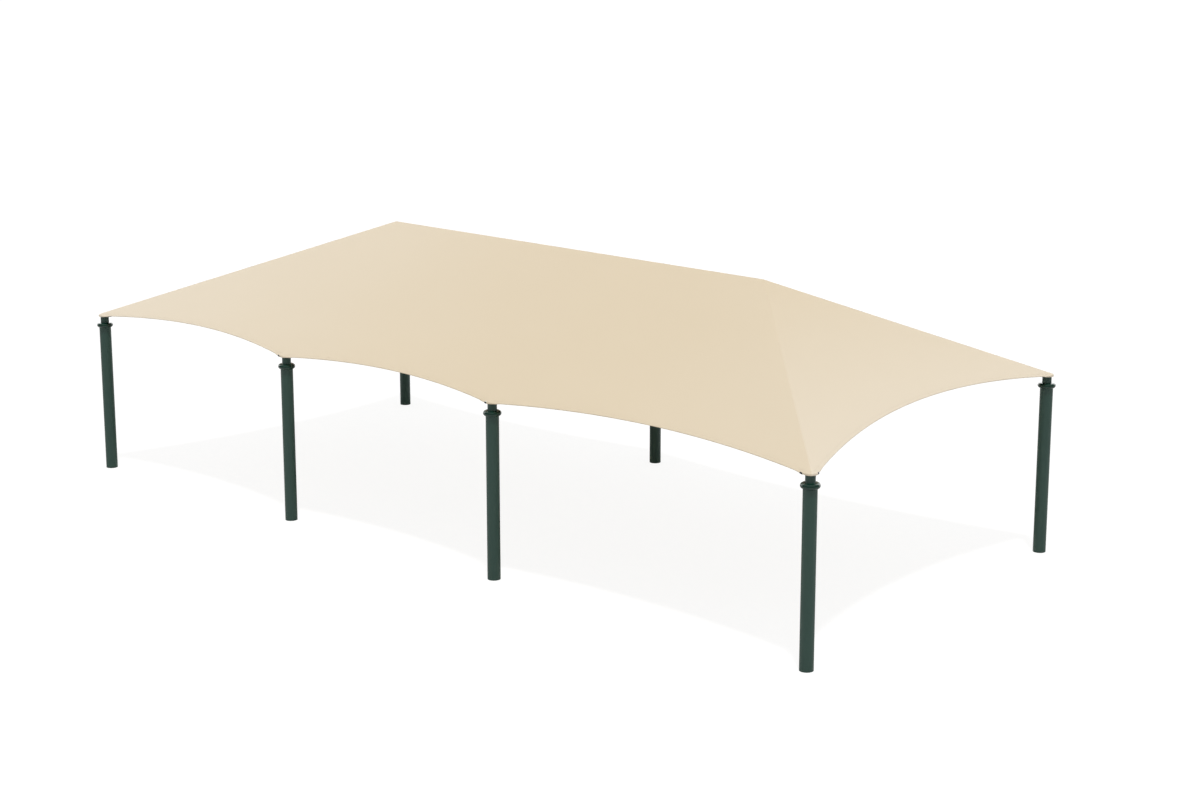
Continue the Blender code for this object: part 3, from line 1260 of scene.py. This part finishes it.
    def _fill(self, ring: np.ndarray, offset: int) -> tuple[np.ndarray, list[tuple[int, ...]]]:
        """Fills the border's inner edge with triangles.

        Args:
            ring: The border's inner edge in plan.
            offset: The number of the border's vertices, of which the ring's are the last.

        Returns:
            The vertices to add after the border's, and the triangles.
        """
        count = len(ring)
        inner, joined = self._inner_plan(ring)
        loop = [Vector(point) for point in ring]
        edges = [(i, (i + 1) % count) for i in range(count)]
        edges += [(a + count, b + count) for a, b in joined]
        found, _, triangles, origins, _, _ = delaunay_2d_cdt(
            loop + inner, edges, [list(range(count))], 1, self.join_within, True
        )
        plan = np.array([tuple(point) for point in found])
        index = [offset + i for i in range(len(plan))]
        for new, old in enumerate(origins):
            for number in old:
                if number < count:
                    index[new] = offset - count + number
        centres = np.array([plan[list(face)].mean(axis=0) for face in triangles])
        faces: list[tuple[int, ...]] = []
        for face in (face for face, kept in zip(triangles, inside(centres, ring)) if kept):
            a, b, c = (plan[number] for number in face)
            turn = (b[0] - a[0]) * (c[1] - a[1]) - (b[1] - a[1]) * (c[0] - a[0])
            corners = [index[number] for number in face]
            faces.append(tuple(corners if turn > 0 else corners[::-1]))
        return np.column_stack([plan, self.roof.height(plan)]), faces

    def _map_panels(self, mesh: bpy.types.Mesh) -> None:
        """Gives each slope its own map in metres: along its eave, and up its slope.

        Args:
            mesh: The sheet's mesh.
        """
        layer = mesh.uv_layers.new(name=self.PANEL_MAP)
        coordinates = np.array([vert.co for vert in mesh.vertices])
        for face in mesh.polygons:
            corners = coordinates[list(face.vertices)]
            side = self.roof.side_of(corners[:, :2].mean(axis=0))
            kx, ky, _ = self.roof.planes[side]
            across = 0 if abs(ky) > abs(kx) else 1
            rise = math.hypot(1, kx if across else ky)
            for loop, corner in zip(face.loop_indices, corners):
                layer.data[loop].uv = (corner[across], corner[1 - across] * rise)

    def build(self) -> bpy.types.Object:
        """Builds the sheet and dresses it.

        Returns:
            The canopy's object.
        """
        mesh = self._mesh()
        self._map_panels(mesh)
        obj = new_object("canopy_sheet", mesh)
        cloth = obj.modifiers.new("cloth", "SOLIDIFY")
        cloth.thickness = self.thickness
        cloth.offset = -1
        plain_mesh(obj)
        shade_smooth(obj.data, self.sharp_over)
        hand_over(obj, self.cloth.material(self.roof.planes))
        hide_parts("canopy_front", "canopy_right", "canopy_back", "canopy_left")
        return obj


def inside(points: np.ndarray, ring: np.ndarray) -> np.ndarray:
    """Finds the plan points inside a closed ring.

    Args:
        points: Plan points, one in each row.
        ring: The ring's corners, in order.

    Returns:
        True for each point inside.
    """
    result = np.zeros(len(points), bool)
    for (ax, ay), (bx, by) in zip(ring, np.roll(ring, -1, axis=0)):
        crosses = (points[:, 1] < ay) != (points[:, 1] < by)
        if ay != by:
            at = ax + (points[:, 1] - ay) * (bx - ax) / (by - ay)
            result ^= crosses & (points[:, 0] < at)
    return result


# What repeats, by Geometry Nodes


class RepeatGraph(Graph):
    """A Geometry Nodes tree with named inputs."""

    def __init__(self, name: str, inputs: dict[str, Number]) -> None:
        """Makes the tree, its geometry sockets and its number inputs.

        Args:
            name: The tree's name.
            inputs: Its named inputs and their values.
        """
        tree = bpy.data.node_groups.new(name, "GeometryNodeTree")
        tree.is_modifier = True
        super().__init__(tree)
        tree.interface.new_socket("Geometry", in_out="OUTPUT", socket_type="NodeSocketGeometry")
        tree.interface.new_socket("Geometry", in_out="INPUT", socket_type="NodeSocketGeometry")
        self.identifiers: dict[str, str] = {}
        for label, value in inputs.items():
            kind = "NodeSocketInt" if isinstance(value, int) else "NodeSocketFloat"
            item = tree.interface.new_socket(label, in_out="INPUT", socket_type=kind)
            item.default_value = value
            self.identifiers[label] = item.identifier
        self.inputs = inputs
        self.start = self.node("NodeGroupInput")

    def given(self, label: str) -> Value:
        """One of the tree's inputs."""
        return self.out(self.start, label)

    def ups(self) -> Value:
        """The attribute "up" of a mesh of rails."""
        sockets = {"Name": "up"}
        return self.value("GeometryNodeInputNamedAttribute", {"data_type": "FLOAT_VECTOR"}, sockets)

    def end(self, geometry: Value, material: bpy.types.Material) -> None:
        """Realizes the instances, sets their material and closes the tree.

        Args:
            geometry: The instances.
            material: Their material.
        """
        real = self.value("GeometryNodeRealizeInstances", {}, {"Geometry": geometry})
        coated = self.value("GeometryNodeSetMaterial", {}, {"Geometry": real, "Material": material})
        self.node("NodeGroupOutput", {}, {"Geometry": coated})

    def attach(self, obj: bpy.types.Object) -> None:
        """Puts the tree on an object as a modifier, with its inputs set.

        Args:
            obj: The object.
        """
        modifier = obj.modifiers.new(self.tree.name, "NODES")
        modifier.node_group = self.tree
        for label, identifier in self.identifiers.items():
            modifier[identifier] = self.inputs[label]

    def grow(self, obj: bpy.types.Object) -> bpy.types.Object:
        """Runs the tree on an object and leaves the result as its plain mesh."""
        self.attach(obj)
        return plain_mesh(obj)


@dataclass
class Rail:
    """A line that something repeats along, with the upward direction at each of its points."""

    points: np.ndarray
    ups: np.ndarray
    closed: bool


def upright_rail(points: np.ndarray, closed: bool) -> Rail:
    """A rail whose upward direction is straight up all along."""
    return Rail(points, np.tile(UP, (len(points), 1)), closed)


def rail_object(name: str, rails: list[Rail]) -> bpy.types.Object:
    """A mesh of bare rails, which keeps the upward directions as the attribute "up".

    Args:
        name: The object's name.
        rails: The rails.

    Returns:
        The object.
    """
    verts: list[list[float]] = []
    edges: list[tuple[int, int]] = []
    for rail in rails:
        start = len(verts)
        verts += rail.points.tolist()
        edges += [(start + i, start + i + 1) for i in range(len(rail.points) - 1)]
        if rail.closed:
            edges.append((len(verts) - 1, start))
    mesh = bpy.data.meshes.new(name)
    mesh.from_pydata(verts, edges, [])
    layer = mesh.attributes.new("up", "FLOAT_VECTOR", "POINT")
    layer.data.foreach_set("vector", np.vstack([rail.ups for rail in rails]).astype(np.float32).ravel())
    return new_object(name, mesh)


@dataclass
class BeadRow:
    """Small beads in a row, such as stitches of thread or the ripples of a weld."""

    label: str
    material: bpy.types.Material
    slot: Slot
    pitch: float
    length: float
    width: float
    height: float
    segments: int = 5
    rings: int = 3
    sharp_over: float = 180.0

    def _tree(self) -> RepeatGraph:
        """The tree that sets beads along rails.

        Returns:
            The tree.
        """
        inputs = {"Pitch": self.pitch, "Length": self.length, "Width": self.width, "Height": self.height}
        graph = RepeatGraph(self.label, {**inputs, "Segments": self.segments, "Rings": self.rings})
        curve = graph.value("GeometryNodeMeshToCurve", {}, {"Mesh": graph.given("Geometry")})
        spacing = {"Curve": curve, "Length": graph.given("Pitch")}
        spaced = graph.value("GeometryNodeResampleCurve", {"mode": "LENGTH"}, spacing)
        turn = graph.value(
            "FunctionNodeAxesToRotation",
            {"primary_axis": "Z", "secondary_axis": "X"},
            {"Primary Axis": graph.value("GeometryNodeInputTangent"), "Secondary Axis": graph.ups()},
        )
        bead = graph.value(
            "GeometryNodeMeshUVSphere",
            {},
            {"Segments": graph.given("Segments"), "Rings": graph.given("Rings"), "Radius": 0.5},
        )
        size = graph.value(
            "ShaderNodeCombineXYZ",
            {},
            {0: graph.given("Height"), 1: graph.given("Width"), 2: graph.given("Length")},
        )
        beads = graph.value(
            "GeometryNodeInstanceOnPoints",
            {},
            {"Points": spaced, "Instance": bead, "Rotation": turn, "Scale": size},
        )
        graph.end(beads, self.material)
        return graph

    def run(self, name: str, rails: list[Rail]) -> bpy.types.Object:
        """Sets beads along rails.

        Args:
            name: The piece's name.
            rails: The lines of the rows.

        Returns:
            The piece.
        """
        obj = self._tree().grow(rail_object(name, rails))
        shade_smooth(obj.data, self.sharp_over)
        return hand_over(obj)


@dataclass
class Seams:
    """The canopy's sewing: two rows round the hem, seen on both faces, and two along each crease."""

    sheet: CanopySheet
    thread: Thread
    hem_rows: tuple[float, ...] = (0.040, 0.052)
    crease_rows: tuple[float, ...] = (-0.014, 0.014)
    crease_start: float = 0.16
    step: float = 0.12
    over_hem: float = 0.0002
    under_hem: float = -0.0048
    over_crease: float = 0.0003

    def sew(self) -> list[bpy.types.Object]:
        """Sews the hem and the creases.

        Returns:
            The pieces of thread.
        """
        row = BeadRow(
            "stitches",
            self.thread.material(),
            Slot.FABRIC,
            pitch=0.0165,
            length=0.0115,
            width=0.0016,
            height=0.0011,
        )
        return [
            row.run("hem_stitches_top", self._hem(self.over_hem)),
            row.run("hem_stitches_under", self._hem(self.under_hem)),
            row.run("crease_stitches", self._creases()),
        ]

    def _hem(self, lift: float) -> list[Rail]:
        """Sets out the rows round the hem.

        Args:
            lift: Height over the sheet's upper face.

        Returns:
            Closed rails.
        """
        roll = self.sheet.roll_rows()
        rails = []
        for inward in self.hem_rows:
            points = self.sheet.sheet_at(inward, roll[-1])
            points[:, 2] += lift
            rails.append(upright_rail(points, True))
        return rails

    def _creases(self) -> list[Rail]:
        """Sets out the rows on both sides of the ridge and of the four hips.

        Returns:
            Open rails.
        """
        roof = self.sheet.roof
        rails = []
        for number, (a, b) in enumerate(roof.supports()[: Roof.CREASES]):
            length, along, across = segment_axes(a, b)
            start = 0.0 if number == 0 else self.crease_start
            stops = np.linspace(start, length, math.ceil((length - start) / self.step) + 1)
            for offset in self.crease_rows:
                plan = a + stops[:, None] * along + offset * across
                points = np.column_stack([plan, roof.height(plan) + self.over_crease])
                rails.append(upright_rail(points, False))
        return rails


# Edge cable


@dataclass
class EdgeCable:
    """The one cable in the hem, round all the heads, with a black sleeve where the hem is cut away."""

    ROPE_MAP = "rope_metres"
    sheet: CanopySheet
    wire: GalvanisedWire
    hose: BlackHose
    radius: float = 0.00475
    sides: int = 12
    sleeve_radius: float = 0.0145
    sleeve_sides: int = 20
    sleeve_round: float = 0.0025
    round_points: int = 5
    sharp_over: float = 60.0

    def build(self) -> None:
        """Builds the cable and its sleeves."""
        axis = self.sheet.cable_axis()
        radii = np.full(len(axis), self.radius)
        mesh = tube_mesh("edge_cable", axis, radii, self.sides, True, self.ROPE_MAP)
        cable = hand_over(new_object("edge_cable", mesh), self.wire.material())
        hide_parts("perimeter_cable")
        self._sleeves(axis)

    def _sleeves(self, axis: np.ndarray) -> None:
        """Slips a short tube over the cable at each notch, all of them one piece.

        Args:
            axis: The cable's axis.
        """
        chosen = self.sheet.roof.edge.notch < self.sheet.notch_half
        bm = bmesh.new()
        for start in np.nonzero(chosen & ~np.roll(chosen, 1))[0].tolist():
            stop = start
            while chosen[(stop + 1) % len(chosen)]:
                stop += 1
            piece = self._sleeve_mesh(axis[start], axis[stop % len(axis)])
            bm.from_mesh(piece)
            bpy.data.meshes.remove(piece)
        mesh = bpy.data.meshes.new("cable_sleeves")
        bm.to_mesh(mesh)
        bm.free()
        shade_smooth(mesh, self.sharp_over)
        hand_over(new_object("cable_sleeves", mesh), self.hose.material())

    def _sleeve_mesh(self, start: np.ndarray, end: np.ndarray) -> bpy.types.Mesh:
        """Makes one sleeve, with its ends rounded over.

        Args:
            start: The middle of one end.
            end: The middle of the other end.

        Returns:
            The sleeve.
        """
        length = float(np.linalg.norm(end - start))
        profile = []
        for angle in np.linspace(0, math.pi / 2, self.round_points):
            drop = self.sleeve_round * (1 - math.sin(angle))
            profile.append((self.sleeve_round * (1 - math.cos(angle)), self.sleeve_radius - drop))
        profile += [(length - x, r) for x, r in reversed(profile)]
        places = np.array([start + (end - start) * (x / length) for x, _ in profile])
        radii = np.array([r for _, r in profile])
        return tube_mesh("sleeve", places, radii, self.sleeve_sides, False, self.ROPE_MAP)


# Painted steel


@dataclass
class SteelFrame:
    """Posts, collars, heads, rafters, beam and drums: CAD solids, smoothed and painted."""

    satin: bpy.types.Material
    gloss: bpy.types.Material
    sharp_over: float = 32.0
    merge_distance: float = 0.00002

    def _smoother(self) -> RepeatGraph:
        """Makes the tree that joins a solid's loose triangles and smooths its round faces.

        Returns:
            The tree.
        """
        graph = RepeatGraph("smooth_round_faces", {"Sharp over": math.radians(self.sharp_over)})
        joined = graph.value(
            "GeometryNodeMergeByDistance",
            {},
            {"Geometry": graph.given("Geometry"), "Distance": self.merge_distance},
        )
        smooth = graph.value("GeometryNodeSetShadeSmooth", {"domain": "FACE"}, {"Geometry": joined})
        angle = graph.value("GeometryNodeInputMeshEdgeAngle")
        soft = graph.value(
            "FunctionNodeCompare", {"operation": "LESS_THAN"}, {0: angle, 1: graph.given("Sharp over")}
        )
        final = graph.value(
            "GeometryNodeSetShadeSmooth",
            {"domain": "EDGE"},
            {"Geometry": smooth, "Shade Smooth": soft},
        )
        graph.node("NodeGroupOutput", {}, {"Geometry": final})
        return graph

    def dress(self) -> None:
        """Smooths and paints every steel node of the frame."""
        smoother = self._smoother()
        for name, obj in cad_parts.items():
            if name.startswith("canopy") or name == "perimeter_cable":
                continue
            smoother.attach(obj)
            paint(obj, self.gloss if name.startswith("collar") else self.satin)
            log.info("%s: painted", name)


@dataclass
class Welds:
    """Rippled fillet welds under and on top of every collar."""

    roof: Roof
    paint: bpy.types.Material
    post_radius: float = 0.1105
    stub_radius: float = 0.0795
    collar_height: float = 0.0886
    stand_off: float = 0.0012
    steps: int = 72

    def build(self) -> None:
        """Lays all the welds as one piece."""
        ripple = BeadRow(
            "weld_ripples",
            self.paint,
            Slot.POST,
            pitch=0.0040,
            length=0.0068,
            width=0.0072,
            height=0.0062,
            segments=8,
            rings=5,
        )
        rails = []
        for post in self.roof.posts:
            _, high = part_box("post_" + post.name)
            rails.append(self._ring(post, self.post_radius, high[2] - self.stand_off, -1))
            top = high[2] + self.collar_height + self.stand_off
            rails.append(self._ring(post, self.stub_radius, top, 1))
        ripple.run("collar_welds", rails)

    def _ring(self, post: Post, radius: float, height: float, lean: int) -> Rail:
        """Sets out one weld round a post's axis.

        Args:
            post: The post.
            radius: The ring's radius.
            height: Its height.
            lean: 1 where its beads face up, -1 where they face down.

        Returns:
            A closed rail.
        """
        angles = np.arange(self.steps) * (TURN / self.steps)
        rays = np.column_stack([np.cos(angles), np.sin(angles)])
        points = np.column_stack([post.axis + radius * rays, np.full(self.steps, height)])
        ups = np.column_stack([rays, np.full(self.steps, float(lean))])
        return Rail(points, ups, True)


@dataclass
class Bolts:
    """Hex bolts with washers through both sides of every slip joint of the frame.

    The chamfer's and the bolt end's radius and rise are shares of the hexagon's.
    """

    roof: Roof
    zinc: ZincFastener
    pipe_radius: float = 0.05715
    fabric_gap: float = 0.0033
    head_radius: float = 0.078
    drum_radius: float = 0.0826
    clearance: float = 0.0003
    from_end: tuple[float, ...] = (0.045, 0.105)
    seat: float = 0.0008
    washer_radius: float = 0.0125
    washer_height: float = 0.0028
    hex_radius: float = 0.0110
    hex_height: float = 0.0080
    chamfer_radius: float = 0.84
    chamfer_rise: float = 0.12
    end_radius: float = 0.54
    end_rise: float = 0.5
    round_sides: int = 24
    sharp_over: float = 30.0

    def _axis_point(self, plan: np.ndarray) -> np.ndarray:
        """The point of the pipes' axes over a plan point."""
        depth = self.pipe_radius + self.fabric_gap
        return np.array([*plan, self.roof.under(plan[None, :], depth)[0]])

    def _stand_off(self, radius: float, pitch: float) -> float:
        """How far along its axis a pitched pipe's end clears an upright round."""
        return (radius + self.clearance) / math.cos(pitch) + self.pipe_radius * math.tan(pitch)

    def _places(self) -> tuple[np.ndarray, np.ndarray]:
        """Finds where the bolts come out.

        Returns:
            Points on the pipes' sides, and the outward direction at each.
        """
        places, outs = [], []
        for number, (low, high) in enumerate(self.roof.supports()):
            start, end = self._axis_point(low), self._axis_point(high)
            along = unit(end - start)
            pitch = math.asin(along[2])
            side = unit(np.cross(along, UP))
            low_end = self._stand_off(self.drum_radius if number == 0 else self.head_radius, pitch)
            on_beam = self.pipe_radius + self.clearance
            on_drum = self._stand_off(self.drum_radius, pitch)
            high_end = on_drum if number < Roof.CREASES else on_beam
            for distance in self.from_end:
                for point in (start + along * (low_end + distance), end - along * (high_end + distance)):
                    for turn in (1, -1):
                        places.append(point + side * (turn * (self.pipe_radius - self.seat)))
                        outs.append(side * turn)
        return np.array(places), np.array(outs)

    def _tree(self) -> RepeatGraph:
        """Makes the tree that sets a washer, a chamfered hexagon and a bolt's end on every point.

        Returns:
            The tree.
        """
        inputs = {
            "Washer radius": self.washer_radius,
            "Washer height": self.washer_height,
            "Hexagon radius": self.hex_radius,
            "Hexagon height": self.hex_height,
        }
        graph = RepeatGraph("bolts", {**inputs, "Round sides": self.round_sides, "Hexagon sides": 6})
        washer_height, hex_height = graph.given("Washer height"), graph.given("Hexagon height")
        hexagon, round_sides = graph.given("Hexagon radius"), graph.given("Round sides")
        base = washer_height + hex_height
        stack = [
            (round_sides, graph.given("Washer radius"), washer_height, washer_height * 0.5),
            (graph.given("Hexagon sides"), hexagon, hex_height, washer_height + hex_height * 0.5),
        ]
        for radius, rise in ((self.chamfer_radius, self.chamfer_rise), (self.end_radius, self.end_rise)):
            middle = base + hex_height * (rise / 2)
            stack.append((round_sides, hexagon * radius, hex_height * rise, middle))
        joined = graph.node("GeometryNodeJoinGeometry")
        for sides, radius, height, middle in stack:
            turned = graph.value(
                "GeometryNodeMeshCylinder", {}, {"Vertices": sides, "Radius": radius, "Depth": height}
            )
            lift = graph.value("ShaderNodeCombineXYZ", {}, {2: middle})
            moved = graph.value("GeometryNodeTransform", {}, {"Geometry": turned, "Translation": lift})
            graph.tree.links.new(moved.socket, joined.inputs[0])
        turn = graph.value("FunctionNodeAlignRotationToVector", {"axis": "Z"}, {"Vector": graph.ups()})
        bolts = graph.value(
            "GeometryNodeInstanceOnPoints",
            {},
            {"Points": graph.given("Geometry"), "Instance": graph.out(joined), "Rotation": turn},
        )
        graph.end(bolts, self.zinc.material())
        return graph

    def build(self) -> None:
        """Sets all the bolts as one piece."""
        places, outs = self._places()
        points = [Rail(place[None, :], out[None, :], False) for place, out in zip(places, outs)]
        obj = self._tree().grow(rail_object("joint_bolts", points))
        shade_smooth(obj.data, self.sharp_over)
        hand_over(obj)


# Studio


@dataclass
class Studio:
    """White floor, soft overhead light and the photograph's camera."""

    floor: StudioFloor
    floor_half: float = 400.0
    camera_place: tuple[float, float, float] = (28.369, -29.898, 11.952)
    camera_aim: tuple[float, float, float] = (-0.6567, 0.7171, -0.2334)
    camera_lens: float = 70.45
    sensor: float = 36.0
    sun_from: tuple[float, float, float] = (0.22, -0.19, 0.955)
    sun_strength: float = 1.9
    sun_width: float = math.radians(4)
    sky_bright: float = 0.72
    sky_dim: float = 0.16
    backdrop_glare: float = 2.5
    overhead_band: tuple[float, float] = (0.45, 0.85)
    far_band: tuple[float, float] = (0.1, 0.6)
    glare_band: tuple[float, float] = (0.3, 0.7)

    def build(self) -> None:
        """Builds the floor, the lights and the camera."""
        scene = bpy.context.scene
        scene.view_settings.view_transform = "Standard"
        self._floor()
        self._sky()
        self._sun()
        self._camera()

    def _floor(self) -> None:
        """Lays the floor, a wide sheet of quads at ground level."""
        bm = bmesh.new()
        bmesh.ops.create_grid(bm, x_segments=8, y_segments=8, size=self.floor_half)
        mesh = bpy.data.meshes.new("studio_floor")
        bm.to_mesh(mesh)
        bm.free()
        mesh.materials.append(self.floor.material())
        new_object("studio_floor", mesh)

    def _sky(self) -> None:
        """Makes the sky: bright overhead and behind the shade, dim on the camera's side.

        Reflections see a brighter backdrop behind the shade, and the camera sees plain white.
        """
        world = bpy.data.worlds.new("studio")
        bpy.context.scene.world = world
        world.use_nodes = True
        graph = Graph(world.node_tree)
        x, y, z = graph.split(graph.value("ShaderNodeTexCoord", output="Generated"))
        flat = math.hypot(self.camera_aim[0], self.camera_aim[1])
        away = x * (self.camera_aim[0] / flat) + y * (self.camera_aim[1] / flat)
        bright = z.between(*self.overhead_band).larger(away.between(*self.far_band))
        mirrored = graph.value("ShaderNodeLightPath", output="Is Glossy Ray")
        backdrop = away.between(*self.glare_band) * mirrored * self.backdrop_glare
        level = bright * (self.sky_bright - self.sky_dim) + self.sky_dim + backdrop
        light = graph.value("ShaderNodeBackground", {}, {"Color": WHITE, "Strength": level})
        white = graph.value("ShaderNodeBackground", {}, {"Color": WHITE, "Strength": 1.0})
        seen = graph.value("ShaderNodeLightPath", output="Is Camera Ray")
        mixed = graph.value("ShaderNodeMixShader", {}, {0: seen, 1: light, 2: white})
        graph.node("ShaderNodeOutputWorld", {}, {"Surface": mixed})

    def _sun(self) -> None:
        """One high soft lamp, which throws the canopy's shadow."""
        data = bpy.data.lights.new("high_lamp", "SUN")
        data.energy = self.sun_strength
        data.angle = self.sun_width
        lamp = bpy.data.objects.new("high_lamp", data)
        lamp.visible_glossy = False
        lamp.rotation_euler = Vector(self.sun_from).to_track_quat("Z", "Y").to_euler()
        bpy.context.scene.collection.objects.link(lamp)

    def _camera(self) -> None:
        """The camera at the photograph's place and angle."""
        data = bpy.data.cameras.new("photo_camera")
        data.lens = self.camera_lens
        data.sensor_width = self.sensor
        data.clip_end = 3 * self.floor_half
        camera = bpy.data.objects.new("photo_camera", data)
        camera.location = self.camera_place
        camera.rotation_euler = Vector(self.camera_aim).to_track_quat("-Z", "Y").to_euler()
        bpy.context.scene.collection.objects.link(camera)
        bpy.context.scene.camera = camera


def main() -> None:
    """Builds every piece in order and reports it."""
    logging.basicConfig(level=logging.INFO, format="%(name)s %(message)s")
    satin = PowderCoat("satin_green_powder_coat", colour=(0.025, 0.066, 0.051), roughness=0.50)
    # Painted shade: the collars' gloss coat is a much darker copy of the posts' green, standing in for the
    # dark surroundings it reflects.
    gloss = PowderCoat("gloss_green_powder_coat", colour=(0.004, 0.030, 0.019), roughness=0.17)
    Studio(StudioFloor()).build()
    roof = Roof()
    canopy = CanopySheet(roof, ShadeCloth())
    sheet = canopy.build()
    Seams(canopy, Thread()).sew()
    EdgeCable(canopy, GalvanisedWire(), BlackHose()).build()
    steel = SteelFrame(satin.material(), gloss.material())
    steel.dress()
    Welds(roof, steel.satin).build()
    Bolts(roof, ZincFastener()).build()


if __name__ == "__main__":
    main()
